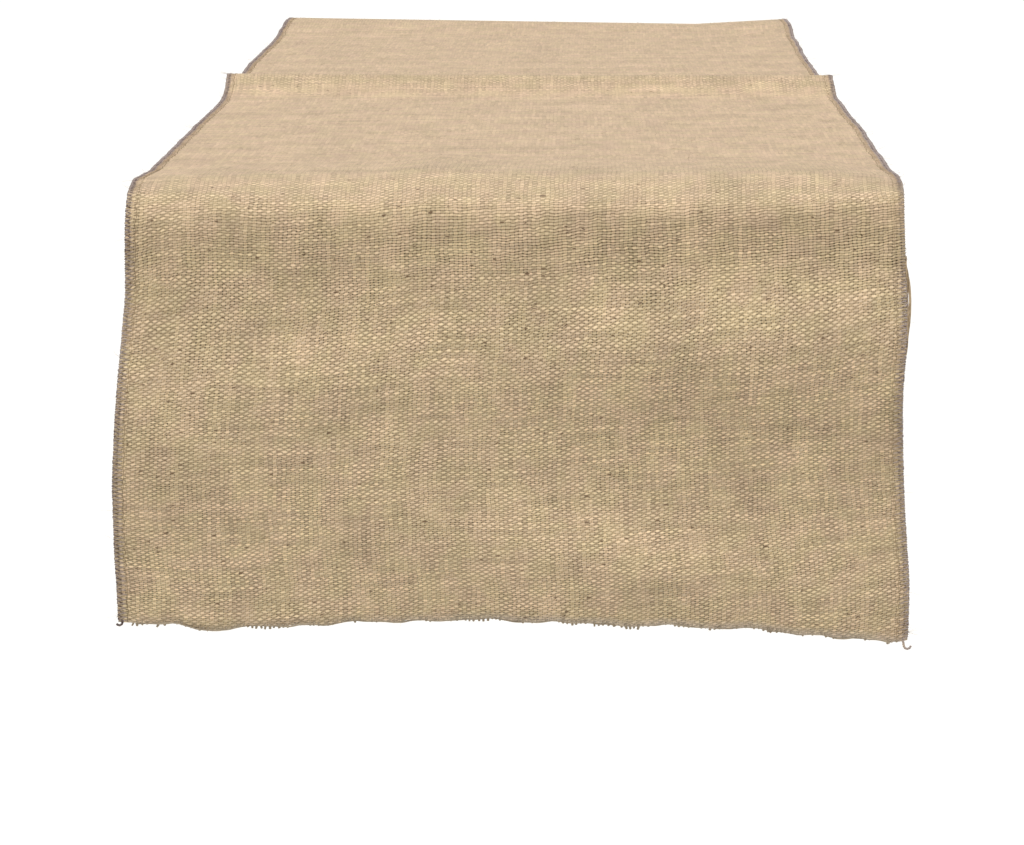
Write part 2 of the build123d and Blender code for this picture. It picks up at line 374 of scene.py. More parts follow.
def grid_normals(points):
    """Unit normals of the grid, up on the table and outwards on the hanging ends."""
    across = np.gradient(points, axis=1)
    up_along = np.gradient(points, axis=0)
    normal = np.cross(across, up_along)
    return normal / np.linalg.norm(normal, axis=2, keepdims=True)


normals = grid_normals(grid)


def between(wanted, places, rows):
    """Points known at these places, at the wanted places."""
    return np.stack([np.interp(wanted, places, rows[:, k]) for k in range(3)], -1)


def mesh_object(name, points, faces, material, uv, values):
    """A smooth-shaded mesh. uv has a pair for each point, and values are named point values."""
    mesh = bpy.data.meshes.new(name)
    mesh.from_pydata(points.tolist(), [], faces)
    mesh.polygons.foreach_set("use_smooth", [True] * len(mesh.polygons))
    corners = np.zeros(len(mesh.loops), dtype=np.int32)
    mesh.loops.foreach_get("vertex_index", corners)
    layer = mesh.uv_layers.new(name="yarns")
    layer.data.foreach_set("uv", uv[corners].astype(np.float32).ravel())
    for key, numbers in values.items():
        attribute = mesh.attributes.new(key, "FLOAT", "POINT")
        attribute.data.foreach_set("value", numbers.astype(np.float32))
    mesh.materials.append(material)
    obj = bpy.data.objects.new(name, mesh)
    bpy.context.scene.collection.objects.link(obj)
    return obj


class Shader:
    """A short way to write one material's nodes as sums."""

    def __init__(self, name):
        self.material = bpy.data.materials.new(name)
        self.material.use_nodes = True
        self.nodes = self.material.node_tree.nodes
        self.links = self.material.node_tree.links
        self.principled = self.nodes["Principled BSDF"]

    def add(self, kind, **settings):
        """A node, with settings given as node properties."""
        node = self.nodes.new(kind)
        for key, value in settings.items():
            setattr(node, key, value)
        return node

    def put(self, socket, value):
        """A constant or another node's output into a socket."""
        if isinstance(value, bpy.types.NodeSocket):
            self.links.new(value, socket)
        else:
            socket.default_value = value

    def do(self, operation, *inputs):
        """A Math node."""
        node = self.add("ShaderNodeMath", operation=operation)
        for socket, value in zip(node.inputs, inputs):
            self.put(socket, value)
        return node.outputs[0]

    def times(self, a, b):
        return self.do("MULTIPLY", a, b)

    def plus(self, a, b):
        return self.do("ADD", a, b)

    def minus(self, a, b):
        return self.do("SUBTRACT", a, b)

    def ramp(self, value, low, high, to_low=0.0, to_high=1.0):
        """An eased step from to_low to to_high as the value goes from low to high."""
        node = self.add("ShaderNodeMapRange", interpolation_type="SMOOTHSTEP")
        for socket, number in zip(node.inputs, (value, low, high, to_low, to_high)):
            self.put(socket, number)
        return node.outputs[0]

    def vector(self, a, b, c):
        """A vector, or a colour, of three numbers."""
        node = self.add("ShaderNodeCombineXYZ")
        for socket, value in zip(node.inputs, (a, b, c)):
            self.put(socket, value)
        return node.outputs[0]

    def tinted(self, colour, tint):
        """A colour multiplied by another."""
        return self.mix(1.0, colour, tint, "MULTIPLY")

    def shaded(self, colour, tone):
        """A colour made darker or lighter by a number."""
        return self.tinted(colour, self.vector(tone, tone, tone))

    def noise(self, x, y, layer=0.0, detail=1.0):
        """Noise from about 0 to 1. x and y are each a count and how many patches there are for
        one of it, and each layer has a pattern of its own."""
        node = self.add("ShaderNodeTexNoise")
        self.put(node.inputs["Vector"], self.vector(self.times(*x), self.times(*y), layer))
        node.inputs["Scale"].default_value = 1.0
        node.inputs["Detail"].default_value = detail
        return node.outputs["Fac"]

    def mix(self, share, a, b, blend="MIX"):
        """A colour from a at share 0 to b at share 1."""
        node = self.add("ShaderNodeMix", data_type="RGBA", blend_type=blend)
        self.put(node.inputs[0], share)
        self.put(node.inputs[6], a)
        self.put(node.inputs[7], b)
        return node.outputs[2]

    def point_value(self, name):
        """A named point value of the mesh."""
        return self.add("ShaderNodeAttribute", attribute_name=name).outputs["Fac"]

    def uv(self):
        """The two numbers of the mesh's yarns map."""
        split = self.add("ShaderNodeSeparateXYZ")
        self.links.new(self.add("ShaderNodeUVMap", uv_map="yarns").outputs[0], split.inputs[0])
        return split.outputs[0], split.outputs[1]

    def finish(self, colour, height, bump_distance, bump_strength, roughness, sheen):
        """Connects the colour and the relief, and sets the constant finish."""
        self.put(self.principled.inputs["Base Color"], colour)
        self.principled.inputs["Roughness"].default_value = roughness
        self.principled.inputs["Sheen Weight"].default_value = sheen
        self.principled.inputs["Sheen Roughness"].default_value = 0.5
        self.principled.inputs["Specular IOR Level"].default_value = 0.25
        bump = self.add("ShaderNodeBump")
        bump.inputs["Strength"].default_value = bump_strength
        bump.inputs["Distance"].default_value = bump_distance
        self.put(bump.inputs["Height"], height)
        self.links.new(bump.outputs[0], self.principled.inputs["Normal"])
        return self.material


# ---- Woven jute ----
YARN = (0.708, 0.549, 0.360, 1)          # the even field of yarns
YARN_PAINTED_HIGHLIGHT = (0.785, 0.635, 0.435, 1)    # painted highlight where a weft yarn lies on top
YARN_PAINTED_SHADE = (0.220, 0.148, 0.072, 1)     # painted shade in the grooves between yarns and in the dots where a weft goes under
HOLE_IN_SHADE = (0.040, 0.023, 0.008, 1)     # painted shade: an open hole in the hanging cloth, dark with the shade behind it
HOLE_LIT_TABLETOP = (0.45, 0.34, 0.225, 1)      # painted light: the pale lit tabletop showing through the same hole
YARN_GREY = (0.47, 0.405, 0.345, 1)      # frayed yarns beside a cut end
STALK = (0.13, 0.075, 0.04, 1)
TINT_GREENISH = (0.984, 1.005, 0.950, 1)
TINT_PINKISH = (1.018, 0.995, 1.010, 1)
# Painted light: the part lying on the tabletop is tinted a little darker and pinker than the hanging
# ends
TINT_PAINTED_ON_TABLE = (0.960, 0.930, 0.968, 1)
TWIST_SLANT = 0.48                       # how far a crest leans along its yarn's twist


def woven_jute():
    """Plain weave of uneven yarns, from the yarn counts in the mesh's map."""
    sh = Shader("woven_jute")
    warp, weft = sh.uv()

    # The yarns wander: u counts warp yarns and v counts weft yarns from here on
    broad = sh.noise((warp, 0.11), (weft, 0.045), 3.0, detail=2.0)
    close = sh.noise((warp, 0.42), (weft, 0.16), 7.0)
    sway = sh.noise((warp, 0.18), (weft, 0.35), 11.0)
    u = sh.plus(warp, sh.times(sh.minus(broad, 0.5), 1.2))
    u = sh.plus(u, sh.times(sh.minus(sway, 0.5), 0.8))
    v = sh.plus(weft, sh.times(sh.minus(close, 0.5), 1.5))
    warp_yarn = sh.do("FLOOR", u)
    weft_yarn = sh.do("FLOOR", v)

    # Each yarn is thick and thin, light and dark along its length
    weft_own = sh.noise((u, 0.060), (weft_yarn, 7.31), 1.0, detail=3.0)
    warp_own = sh.noise((warp_yarn, 5.17), (v, 0.040), 5.0, detail=3.0)
    weft_thick = sh.noise((u, 0.21), (weft_yarn, 3.77), 9.0)
    warp_thick = sh.noise((warp_yarn, 3.31), (v, 0.10), 13.0)
    each = sh.noise((warp_yarn, 7.13), (weft_yarn, 5.71), 15.0, detail=0.0)
    openness = sh.noise((warp, 0.075), (weft, 0.042), 19.0, detail=2.0)

    def off_middle(count):
        """-1 at one side of a yarn, 0 at its middle, 1 at its other side."""
        return sh.times(sh.minus(sh.do("FRACT", count), 0.5), 2.0)

    # 1 where the weft crosses over the warp, -1 where it goes under
    wave = sh.do("SINE", sh.times(sh.plus(u, weft_yarn), pi))
    off_weft = off_middle(v)
    off_warp = off_middle(u)
    slanted = sh.minus(off_weft, sh.times(off_warp, TWIST_SLANT))
    crown = sh.minus(1.0, sh.times(slanted, slanted))

    # Grooves run between the yarns both ways, and a hole opens where two of them cross
    between_wefts = sh.do("ABSOLUTE", off_weft)
    between_warps = sh.do("ABSOLUTE", off_warp)
    weft_groove = sh.ramp(between_wefts, sh.ramp(weft_thick, 0.3, 0.7, 0.30, 0.66), 1.0)
    warp_groove = sh.ramp(between_warps, sh.ramp(warp_thick, 0.3, 0.7, 0.30, 0.74), 1.0)
    hole = sh.ramp(sh.times(weft_groove, warp_groove), 0.0, 0.30)
    hole = sh.times(hole, sh.ramp(openness, 0.32, 0.66, 0.62, 1.0))
    hole = sh.times(hole, sh.ramp(each, 0.25, 0.75, 0.60, 1.0))

    # Painted highlight as pale streaks where the weft lies on top, and painted shade as dark dots
    # where it goes under
    gaping_shade = sh.point_value("gaping_shade")
    painted_highlight = sh.times(sh.ramp(wave, -0.30, 0.90), sh.ramp(crown, 0.05, 0.95))
    painted_highlight = sh.times(painted_highlight, sh.ramp(weft_thick, 0.25, 0.75, 0.45, 1.0))
    painted_highlight = sh.times(painted_highlight, sh.ramp(each, 0.25, 0.75, 0.40, 0.95))
    painted_highlight = sh.times(painted_highlight, sh.minus(1.0, sh.times(gaping_shade, 0.45)))
    # Painted shade: the dark dots where the weft goes under
    under = sh.times(sh.ramp(wave, 0.0, -1.0), sh.ramp(crown, 0.1, 0.95, 0.10, 0.66))
    under = sh.times(under, sh.minus(1.0, sh.times(gaping_shade, 0.60)))
    # Painted shade in the grooves between the yarns, deeper where the weave gapes
    gaping_groove_shade = sh.plus(0.68, sh.times(gaping_shade, 0.32))
    side = sh.do("MAXIMUM", sh.times(weft_groove, gaping_groove_shade), sh.times(warp_groove, 0.38))
    side = sh.do("MAXIMUM", side, under)
    shade_below = sh.point_value("shade_below")
    # The painted shade and highlight are weaker over the tabletop
    relief = sh.ramp(shade_below, 0.0, 1.0, 0.45, 1.0)
    colour = sh.mix(sh.times(side, relief), YARN, YARN_PAINTED_SHADE)
    colour = sh.mix(sh.times(painted_highlight, relief), colour, YARN_PAINTED_HIGHLIGHT)
    # Holes show painted shade on the hanging cloth and the painted pale tabletop over the table
    colour = sh.mix(hole, colour, sh.mix(shade_below, HOLE_LIT_TABLETOP, HOLE_IN_SHADE))

    # Tone of single yarns, of soft clouds, and of dark bits of stalk
    own = sh.mix(sh.ramp(wave, -0.6, 0.3), warp_own, weft_own)
    own_tone = sh.ramp(own, 0.25, 0.75, 0.76, 1.24)
    cloud = sh.noise((warp, 0.06), (weft, 0.035), 17.0, detail=3.0)
    cloud_tone = sh.ramp(cloud, 0.3, 0.7, 0.94, 1.06)
    colour = sh.shaded(colour, sh.times(own_tone, cloud_tone))
    hue = sh.noise((warp, 0.15), (weft, 0.09), 23.0, detail=2.0)
    colour = sh.tinted(colour, sh.mix(sh.ramp(hue, 0.35, 0.65), TINT_GREENISH, TINT_PINKISH))
    # Painted light: a darker, pinker tint where the cloth lies on the tabletop
    colour = sh.tinted(colour, sh.mix(shade_below, TINT_PAINTED_ON_TABLE, (1, 1, 1, 1)))
    colour = sh.mix(sh.times(sh.point_value("frayed"), 0.55), colour, YARN_GREY)
    fleck = sh.noise((u, 0.55), (v, 1.0), 31.0, detail=0.0)
    colour = sh.mix(sh.ramp(fleck, 0.785, 0.815, 0.0, 0.9), colour, STALK)

    height = sh.plus(sh.times(wave, sh.times(crown, 0.4)), sh.times(hole, -0.8))
    height = sh.plus(height, sh.times(weft_groove, -0.6))
    return sh.finish(
        colour, height, bump_distance=0.36 * MM, bump_strength=0.5, roughness=0.88, sheen=0.22
    )


def loose_jute(name, light, shade):
    """A single jute strand: fibres along it, uneven tone."""
    sh = Shader(name)
    around, along_it = sh.uv()
    fibres = sh.noise((around, 9.0), (along_it, 400.0), detail=2.0)
    patches = sh.noise((around, 0.6), (along_it, 60.0))
    share = sh.plus(sh.times(fibres, 0.6), sh.times(patches, 0.4))
    colour = sh.mix(sh.ramp(share, 0.36, 0.64), shade, light)
    return sh.finish(
        colour, fibres, bump_distance=0.15 * MM, bump_strength=0.5, roughness=0.9, sheen=0.2
    )


THREAD_TAN = (0.70, 0.545, 0.375, 1)     # where a thread takes on the colour of the cloth
TWISTS_PER_METRE = 900


def spun_thread(name, dark, light):
    """Plied thread: a slanted twist, and a tone that comes from the mesh along the seam."""
    sh = Shader(name)
    around, along_it = sh.uv()
    twist = sh.do("SINE", sh.times(sh.plus(sh.times(along_it, TWISTS_PER_METRE), around), 2 * pi))
    patches = sh.noise((along_it, 170.0), (around, 0.0), 2.0, detail=2.0)
    tone = sh.plus(sh.point_value("tone"), sh.times(sh.minus(patches, 0.5), 1.3))
    colour = sh.mix(sh.ramp(tone, 0.0, 0.55), dark, light)
    colour = sh.mix(sh.ramp(tone, 0.70, 1.15), colour, THREAD_TAN)
    # Painted shade in the grooves of the twist and painted highlight on its crests
    colour = sh.shaded(colour, sh.ramp(twist, -1.0, 1.0, 0.80, 1.08))
    return sh.finish(
        colour, twist, bump_distance=0.08 * MM, bump_strength=0.6, roughness=0.8, sheen=0.15
    )


jute = woven_jute()
strand = loose_jute("loose_jute", light=(0.56, 0.43, 0.28, 1), shade=(0.26, 0.18, 0.10, 1))
cut_ends = loose_jute("cut_ends", light=(0.50, 0.42, 0.31, 1), shade=(0.24, 0.19, 0.13, 1))
looper = spun_thread(
    "looper_thread", dark=(0.110, 0.070, 0.068, 1), light=(0.46, 0.385, 0.365, 1)
)
needle = spun_thread(
    "needle_thread", dark=(0.130, 0.085, 0.045, 1), light=(0.36, 0.26, 0.15, 1)
)

# ---- The cloth as one closed thin mesh ----
from_edge = np.minimum(places_across, 1 - places_across) * CLOTH_WIDTH
half_thick = np.where(from_edge < SEAM_WIDTH, SEAM_THICK, CLOTH_THICK) / 2
over = grid + normals * half_thick[None, :, None]
under = grid - normals * half_thick[None, :, None]

pitch = smooth(measured(WEFT_PITCH, fine), 8 * MM, FINE_STEP)
weft_at = np.concatenate([[0], np.cumsum(FINE_STEP / pitch[:-1])])
weft_count = np.interp(along, fine, weft_at)
lift = WEFT_SKEW * column_x + WEFT_SKEW_CHANGE * column_x**2
weft_count = weft_count - lift[None, :] / MEAN_WEFT_PITCH
weft_count += WEFT_WANDER * smooth(smooth(rng.normal(size=(ROWS, COLUMNS)), 6, 1).T, 4, 1).T
warp_number = np.broadcast_to(places_across * WARP_COUNT, (ROWS, COLUMNS))

# Painted shade under the cloth, for the holes and the painted weave relief: how dark it is under it, 0
# on the pale tabletop, 1 where nothing is behind it
clearance = grid[..., 2] - CLOTH_THICK / 2
below_table = -grid[..., 2]
shade_below = np.maximum.reduce([
    0.6 * ramp(1.5 * MM, 10 * MM, clearance),
    ramp(4 * MM, 20 * MM, below_table),
    0.7 * ramp(FLAT_REACH, 655 * MM, np.abs(grid[..., 1])),
])

# The weave gapes where it is stretched over a bend, and there the painted shade in the weft grooves is
# darker and the painted dots and highlight are weaker
gaping_shade = ramp(0, 6 * MM, below_table) * (1 - ramp(22 * MM, 60 * MM, below_table))
gaping_shade = gaping_shade * np.interp(places_across, (0.1, 0.6), (0.5, 1.0))

# Frayed and grey beside the cut, more so on the right
from_cut = np.minimum(along - front_cut, back_cut - along)
frayed = 1 - ramp(0.8 * MM, 4.2 * MM, from_cut)
frayed = frayed * np.interp(places_across, (0.3, 0.5), (0.35, 1))


def closed_sheet_faces(rows, columns):
    """Quads of an upper grid, a lower grid and the four edges between them."""
    number = np.arange(rows * columns).reshape(rows, columns)
    low = number + rows * columns
    a, b, c, d = number[:-1, :-1], number[:-1, 1:], number[1:, 1:], number[1:, :-1]
    quads = [np.stack([a, b, c, d], -1).reshape(-1, 4)]
    shift = rows * columns
    quads.append(np.stack([d, c, b, a], -1).reshape(-1, 4) + shift)
    for top_line, low_line in (
        (number[0], low[0]),
        (number[::-1, 0], low[::-1, 0]),
        (number[-1, ::-1], low[-1, ::-1]),
        (number[:, -1], low[:, -1]),
    ):
        quads.append(np.stack([top_line[1:], top_line[:-1], low_line[:-1], low_line[1:]], -1))
    return np.concatenate(quads).tolist()


cloth_points = np.concatenate([over.reshape(-1, 3), under.reshape(-1, 3)])
cloth_uv = np.stack([warp_number, weft_count], -1).reshape(-1, 2)
cloth_values = {"shade_below": shade_below, "frayed": frayed, "gaping_shade": gaping_shade}
cloth = mesh_object(
    "hessian_cloth",
    cloth_points,
    closed_sheet_faces(ROWS, COLUMNS),
    jute,
    np.concatenate([cloth_uv] * 2),
    {key: np.concatenate([value.ravel()] * 2) for key, value in cloth_values.items()},
)
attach(cloth, "root")
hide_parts("hessian_panel")


# ---- Strands ----
class Strands:
    """Round strands gathered into one mesh. Each has its own line of points and radii."""

    def __init__(self, sides):
        self.sides = sides
        self.points, self.faces, self.uv, self.tones = [], [], [], []
        self.count = 0

    def add(self, line, radius, tone=0.5):
        """A strand along these points, with one radius and tone or one for each point."""
        line = np.asarray(line, float)
        n = len(line)
        radii = np.broadcast_to(np.asarray(radius, float), n)
        forward = np.gradient(line, axis=0)
        forward /= np.linalg.norm(forward, axis=1, keepdims=True) + 1e-12
        # A start direction square to the line, carried along it without twisting
        spare = np.array([0.31, 0.52, 0.79]) if abs(forward[0, 2]) < 0.9 else np.array([1.0, 0.2, 0])
        first = np.cross(forward[0], spare)
        firsts = [first / np.linalg.norm(first)]
        for k in range(1, n):
            turned = firsts[-1] - forward[k] * np.dot(firsts[-1], forward[k])
            firsts.append(turned / (np.linalg.norm(turned) + 1e-12))
        firsts = np.array(firsts)
        seconds = np.cross(forward, firsts)
        angles = np.arange(self.sides) / self.sides * 2 * pi
        ring = (
            firsts[:, None, :] * np.cos(angles)[None, :, None]
            + seconds[:, None, :] * np.sin(angles)[None, :, None]
        )
        points = line[:, None, :] + ring * radii[:, None, None]
        length = np.concatenate([[0], np.cumsum(np.linalg.norm(np.diff(line, axis=0), axis=1))])
        uv = np.zeros((n, self.sides, 2))
        uv[..., 0] = np.abs(angles / pi - 1)[None, :]
        uv[..., 1] = length[:, None]
        number = self.count + np.arange(n * self.sides).reshape(n, self.sides)
        beside = np.roll(number, -1, axis=1)
        quads = np.stack([number[:-1], beside[:-1], beside[1:], number[1:]], -1)
        self.faces += quads.reshape(-1, 4).tolist()
        self.faces.append(number[0, ::-1].tolist())
        self.faces.append(number[-1].tolist())
        self.points.append(points.reshape(-1, 3))
        self.uv.append(uv.reshape(-1, 2))
        self.tones.append(np.repeat(np.broadcast_to(np.asarray(tone, float), n), self.sides))
        self.count += n * self.sides

    def make(self, name, material, slot, *nodes):
        """The finished piece, riding on the root body."""
        points, uv, tones = (np.concatenate(part) for part in (self.points, self.uv, self.tones))
        obj = mesh_object(name, points, self.faces, material, uv, {"tone": tones})
        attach(obj, "root")
        if nodes:
            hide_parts(*nodes)


class Edge:
    """One side edge: places given as along the cloth, in from the edge, and off its middle."""

    def __init__(self, side):
        column = 0 if side < 0 else COLUMNS - 1
        inner = 2 if side < 0 else COLUMNS - 3
        self.place = along[:, column]
        self.line = grid[:, column]
        inwards = grid[:, inner] - grid[:, column]
        self.inwards = inwards / np.linalg.norm(inwards, axis=1, keepdims=True)
        self.normal = normals[:, column]

    def at(self, place, inwards, off):
        """World points for arrays of the three coordinates."""
        line, way_in, way_off = (
            between(place, self.place, rows) for rows in (self.line, self.inwards, self.normal)
        )
        return line + way_in * inwards[:, None] + way_off * off[:, None]


def stitch_places(edge):
    """Where each overlock stitch starts, from the front corner to the back one."""
    start, end = edge.place[0] + 0.6 * MM, edge.place[-1] - 0.6 * MM
    count = int((end - start) / STITCH)
    steps = 1 + 0.09 * rng.normal(size=count)
    return start + np.concatenate([[0], np.cumsum(steps)]) / steps.sum() * (end - start)


# One stitch as (share of it along, in from the edge and off the cloth's middle in mm, tone, full)
UPPER_LOOP = (
    (0.00, 5.0, 0.42, 0.4, 0.50), (0.14, 3.3, 0.46, 0.4, 0.52), (0.26, 1.9, 0.56, -0.3, 0.90),
    (0.38, 0.7, 0.46, 0.0, 0.90), (0.50, -0.16, 0.22, -0.3, 1.15), (0.62, -0.10, 0.14, -0.4, 1.15),
    (0.74, 0.6, 0.46, 0.0, 0.90), (0.86, 2.0, 0.50, 0.4, 0.55), (0.95, 3.6, 0.44, 0.4, 0.50),
)
LOWER_LOOP = (
    (0.00, 5.0, -0.42, 0.2, 0.50), (0.14, 3.2, -0.46, 0.2, 0.52), (0.26, 1.8, -0.56, -0.2, 0.85),
    (0.38, 0.6, -0.46, 0.0, 0.90), (0.50, -0.18, 0.00, -0.1, 1.15), (0.62, -0.14, 0.22, 0.0, 1.15),
    (0.74, 0.5, -0.46, 0.0, 0.90), (0.86, 2.0, -0.50, 0.2, 0.55), (0.95, 3.6, -0.44, 0.2, 0.50),
)
NEEDLE_TOP = (
    (0.0, 5.4, 0.26, 0, 1), (0.14, 5.4, 0.50, 0, 1), (0.5, 5.4, 0.54, 0, 1), (0.84, 5.4, 0.50, 0, 1),
)
NEEDLE_BACK = (
    (0.0, 5.4, -0.26, 0, 1), (0.2, 5.3, -0.50, 0, 1), (0.5, 4.9, -0.56, 0, 1), (0.8, 5.3, -0.50, 0, 1),
)

# Thread tone at places along the cloth: dark brown 0, pale lilac 0.6, the cloth's own tan 1.2
TAN = 1.2
LEFT_TONE = (
    (-900, 0.15), (-870, 0.30), (-770, 0.40), (-735, 0.58), (-705, 0.56), (-690, 0.32),
    (-640, 0.44), (-600, 0.46), (900, 0.46),
)
RIGHT_TONE = (
    (-900, 0.60), (-760, 0.48), (-700, 0.55), (-690, 0.60), (-560, 0.52), (-300, 0.48),
    (900, 0.50),
)
# How strongly the threads inside the outer band stand out from the cloth: hardly on the table
OUTER_BAND = 2.2 * MM
BOLD = ((-900, 1.0), (-700, 1.0), (-660, 0.15), (900, 0.15))
# How full the threads look along the right seam, which turns under at the front bend
RIGHT_FULL = ((-900, 1.0), (-712, 1.0), (-695, 0.5), (-560, 0.5), (-480, 0.9), (900, 1.0))
LEFT_FULL = ((-900, 1.0), (900, 1.0))


def seam_line(edge, stitches, pattern, shift, slack):
    """Points of one thread all along a seam, with each stitch a little different."""
    shares, inward, off, tone, full = np.array(pattern).T
    count = len(stitches) - 1
    width = np.diff(stitches)[:, None]
    place = stitches[:-1, None] + (shares[None, :] + shift) * width
    loose = 1 + slack * rng.normal(size=(count, 1))
    reach = inward[None, :] * loose * MM + 0.10 * MM * rng.normal(size=(count, len(shares)))
    height = off[None, :] * MM + 0.05 * MM * rng.normal(size=(count, len(shares)))
    place = place + 0.05 * STITCH * rng.normal(size=place.shape)
    tones = np.tile(tone, count)
    return place.ravel(), reach.ravel(), height.ravel(), tones, np.tile(full, count)


def overlock(side, name, tones, full):
    """The three threads that sew over one side edge."""
    edge = Edge(side)
    stitches = stitch_places(edge)
    for kind, pattern, shift, thick, material in (
        ("upper_looper", UPPER_LOOP, 0.0, LOOP_RADIUS, looper),
        ("lower_looper", LOWER_LOOP, 0.45, LOOP_RADIUS, looper),
        ("needle", NEEDLE_TOP, 0.0, NEEDLE_RADIUS, needle),
    ):
        seam = Strands(5)
        thread = np.array(seam_line(edge, stitches, pattern, shift, 0.07))
        on_cloth = (thread[0] > edge.place[0]) & (thread[0] < edge.place[-1])
        place, reach, height, own_tone, own_full = thread[:, on_cloth]
        inside = (reach > OUTER_BAND) & (kind != "needle")
        bold = np.where(inside, listed(BOLD, place), 1.0)
        tone = TAN + (listed(tones, place) + own_tone - TAN) * bold
        radii = thick * own_full * listed(full, place) * (0.4 + 0.6 * bold)
        radii = radii * np.clip(1 + 0.12 * rng.normal(size=len(place)), 0.6, 1.4)
        seam.add(edge.at(place, reach, height), radii, tone)
        if kind == "needle":
            place, reach, height, _, _ = seam_line(edge, stitches, NEEDLE_BACK, 0.0, 0.02)
            seam.add(edge.at(place, reach, height), thick, 0.4)
        slot = "needle_thread" if kind == "needle" else "looper_thread"
        seam.make(f"{name}_{kind}", material, slot, f"{name}_{kind}_thread")


overlock(-1, "left", LEFT_TONE, LEFT_FULL)
overlock(1, "right", RIGHT_TONE, RIGHT_FULL)


# ---- Raw ends: the loose outermost weft yarn, and the cut ends of the warp yarns ----
def hem_line(end):
    """Points of the cut edge across the cloth, the way down, and outwards, at each column."""
    row = 0 if end < 0 else -1
    inner = 3 if end < 0 else -4
    down = grid[row] - grid[inner]
    down /= np.linalg.norm(down, axis=1, keepdims=True)
    return grid[row], down, normals[row]


def along_hem(end, t, down_by, out_by):
    """World points at places t across, below the cut and off the cloth's middle."""
    cut, down, out = (between(t, places_across, rows) for rows in hem_line(end))
    return cut + down * down_by[:, None] + out * out_by[:, None]


LOOSE_YARN_RADIUS = 0.50 * MM
WARP_END_RADIUS = 0.85 * MM
WARP_END_ROOT = 1.2 * MM        # how far up the cloth a warp end starts
LONG_END_SHARE = 0.03           # of the warp ends


def loose_weft(end, name):
    """The outermost weft yarn, which sags off the cut edge in places."""
    t = np.linspace(0.022, 0.978, 420)
    sag = 0.05 * MM + np.abs(wander(len(t), 1, 6, 0.24 * MM))
    sag += wander(len(t), 1, 2, 0.10 * MM)
    out = wander(len(t), 1, 6, 0.25 * MM)
    yarn = Strands(7)
    radii = LOOSE_YARN_RADIUS * (1 + wander(len(t), 1, 3, 0.16))
    yarn.add(along_hem(end, t, sag, out), radii)
    yarn.make(f"{name}_loose_weft", cut_ends, "jute_hessian", f"{name}_loose_weft_yarn")


def warp_stubs(end, name):
    """The cut ends of the warp yarns, in tufts, with a few longer ones."""
    stubs = Strands(5)
    tufts = np.clip(wander(WARP_COUNT, 1, 1.6, 0.9 * MM), 0, 1.2 * MM)
    steps = np.linspace(0, 1, 4)
    for number in range(3, WARP_COUNT - 2):
        at = (number + 0.5) / WARP_COUNT + rng.normal() * 0.0004
        length = abs(rng.normal()) * 0.30 * MM + 0.25 * MM + tufts[number]
        if rng.random() < LONG_END_SHARE:
            length += rng.uniform(0.6, 1.6) * MM
        lean = rng.normal() * 0.0010 * length / MM
        places = at + lean * steps**2
        down_by = (length + WARP_END_ROOT) * steps - WARP_END_ROOT
        out_by = rng.normal() * 0.15 * MM + rng.normal() * 0.25 * MM * steps
        radii = WARP_END_RADIUS * (1 - 0.30 * steps) * rng.uniform(0.8, 1.2)
        stubs.add(along_hem(end, places, down_by, out_by), radii)
    stubs.make(f"{name}_warp_ends", cut_ends, "jute_hessian")


for end, name in ((-1, "front"), (1, "back")):
    loose_weft(end, name)
    warp_stubs(end, name)


# ---- Thread tails: three strands chained together past each corner ----
TAIL_PLY_RADIUS = 0.34 * MM


def tail_line(end, side, length, hook, lean):
    """The middle line of a tail: down from the seam, then round a hook that turns outwards."""
    corner_t = np.array([0.006 if side < 0 else 0.994])
    start = along_hem(end, corner_t, np.array([-1.0 * MM]), np.array([0.0]))[0]
    line = [start]
    heading = radians(-90 + side * lean)
    step = 0.5 * MM
    turn = step / hook
    run = 0.0
    while run < length:
        run += step
        if run > length * 0.45:
            heading += side * turn
        line.append(line[-1] + step * np.array([cos(heading), 0.05 * end, sin(heading)]))
    return np.array(line)


def chained_tail(end, side, length, hook, lean, tone):
    """Three thin strands wound round each other along the tail's line. hook is the radius of its
    hook, and lean is in degrees."""
    middle_line = tail_line(end, side, length, hook, lean)
    tail = Strands(6)
    n = len(middle_line)
    taper = TAIL_PLY_RADIUS * (1 - 0.3 * np.linspace(0, 1, n))
    forward = np.gradient(middle_line, axis=0)
    forward /= np.linalg.norm(forward, axis=1, keepdims=True)
    out = np.cross(forward, (0, 1, 0))
    for ply in range(3):
        phase = np.arange(n) * 0.85 + ply * 2 * pi / 3
        sideways = out * np.sin(phase)[:, None] * 0.42 * MM
        depth = np.array([0, 1, 0]) * np.cos(phase)[:, None] * 0.34 * MM
        tail.add(middle_line + sideways + depth, taper, tone)
    corner = f"{'front' if end < 0 else 'back'}_{'left' if side < 0 else 'right'}"
    tail.make(f"{corner}_tail", looper, "looper_thread", f"{corner}_thread_tail")


chained_tail(-1, -1, length=5.5 * MM, hook=1.6 * MM, lean=20, tone=0.05)
chained_tail(-1, 1, length=9.0 * MM, hook=1.8 * MM, lean=10, tone=0.85)
chained_tail(1, -1, length=10.0 * MM, hook=2.0 * MM, lean=5, tone=0.5)
chained_tail(1, 1, length=7.5 * MM, hook=1.8 * MM, lean=15, tone=0.6)


# ---- Frayed warp yarns outside the right seam, under the front bend ----
FRAY_START, FRAY_END = -742 * MM, -692 * MM
FRAY_POINTS = 60
fray = Strands(5)
right_edge = Edge(1)
for number in range(3):
    start, stop = FRAY_START + 6 * MM * number, FRAY_END - 4 * MM * number
    place = np.linspace(start, stop, FRAY_POINTS)
    swell = np.sin(np.linspace(0, pi, FRAY_POINTS)) ** 0.6
    reach = wander(FRAY_POINTS, 1, 4, 0.12 * MM) - (0.5 + 0.75 * number) * MM * swell
    off = wander(FRAY_POINTS, 1, 5, 0.3 * MM) - 0.2 * MM
    fray.add(right_edge.at(place, reach, off), 0.42 * MM, 0.6)
fray.make("right_frayed_warp", strand, "jute_hessian")

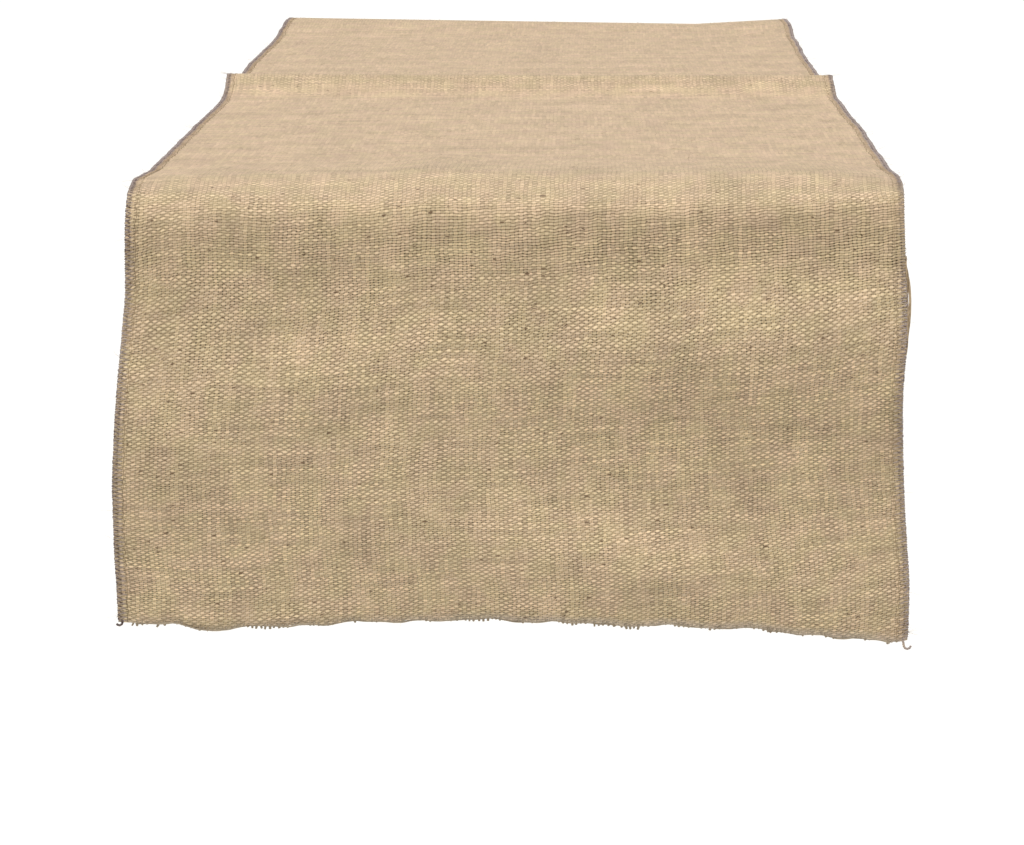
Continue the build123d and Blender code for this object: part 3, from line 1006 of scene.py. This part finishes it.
# ---- Fibres standing off the cloth, its edges and its cut ends ----
FIBRE_COUNT = 1500
FIBRE_FLOOR_REACH = 640 * MM    # within this of the middle, the tabletop holds the fibres up
fibres = Strands(3)
for number in range(FIBRE_COUNT):
    row = rng.integers(2, ROWS - 2)
    column = rng.integers(0, COLUMNS)
    if number % 4 == 0:
        column = rng.choice((0, COLUMNS - 1))
    if number % 9 == 0:
        row = rng.choice((1, ROWS - 2))
    base = over[row, column]
    lay = rng.normal(size=3)
    lay -= normals[row, column] * np.dot(lay, normals[row, column])
    lay /= np.linalg.norm(lay)
    bend = rng.normal(size=3) * 0.5
    length = rng.uniform(2.0, 7.0) * MM
    steps = np.linspace(0, 1, 5)[:, None]
    lifted_by = normals[row, column] * (0.15 * MM + rng.uniform(0.1, 0.35) * length * steps)
    line = base + lay * length * steps + bend * length * 0.35 * steps**2
    line = line + lifted_by
    if abs(base[1]) <= FIBRE_FLOOR_REACH:
        line[:, 2] = np.maximum(line[:, 2], 0.3 * MM)
    fibres.add(line, 0.055 * MM * (1 - 0.6 * steps[:, 0]), 0.5)
fibres.make("loose_fibres", strand, "jute_hessian")

# ---- Floor, light and camera ----
FLOOR_Z = -880 * MM
bpy.ops.mesh.primitive_plane_add(size=60, location=(0, 0, FLOOR_Z))
floor = bpy.context.object
floor.name = "floor"
floor_material = bpy.data.materials.new("pale_floor")
floor_material.use_nodes = True
floor_shader = floor_material.node_tree.nodes["Principled BSDF"]
floor_shader.inputs["Base Color"].default_value = (0.93, 0.925, 0.915, 1)
floor_shader.inputs["Roughness"].default_value = 0.9
floor.data.materials.append(floor_material)

world = bpy.data.worlds.new("studio")
world.use_nodes = True
world.node_tree.nodes["Background"].inputs[0].default_value = (1, 0.99, 0.975, 1)
world.node_tree.nodes["Background"].inputs[1].default_value = 0.38
bpy.context.scene.world = world

sun_data = bpy.data.lights.new("key", "SUN")
sun_data.energy = 2.7
sun_data.angle = radians(32)
sun_data.color = (1, 0.985, 0.96)
sun = bpy.data.objects.new("key", sun_data)
sun.rotation_euler = (radians(12), radians(-6), 0)
bpy.context.scene.collection.objects.link(sun)

CAMERA_PLACE = (0.03528, -2.81769, 0.23525)
CAMERA_DOWN = 9.3               # degrees
CAMERA_TURN = 0.96              # degrees, to the left
CAMERA_LENS = 147.13            # millimetres, on a 36 mm sensor
camera_data = bpy.data.cameras.new("camera")
camera_data.sensor_width = 36
camera_data.lens = CAMERA_LENS
camera_data.clip_end = 100
camera = bpy.data.objects.new("camera", camera_data)
camera.location = CAMERA_PLACE
camera.rotation_euler = (radians(90 - CAMERA_DOWN), 0, radians(CAMERA_TURN))
bpy.context.scene.collection.objects.link(camera)
bpy.context.scene.camera = camera
bpy.context.scene.view_settings.view_transform = "Standard"
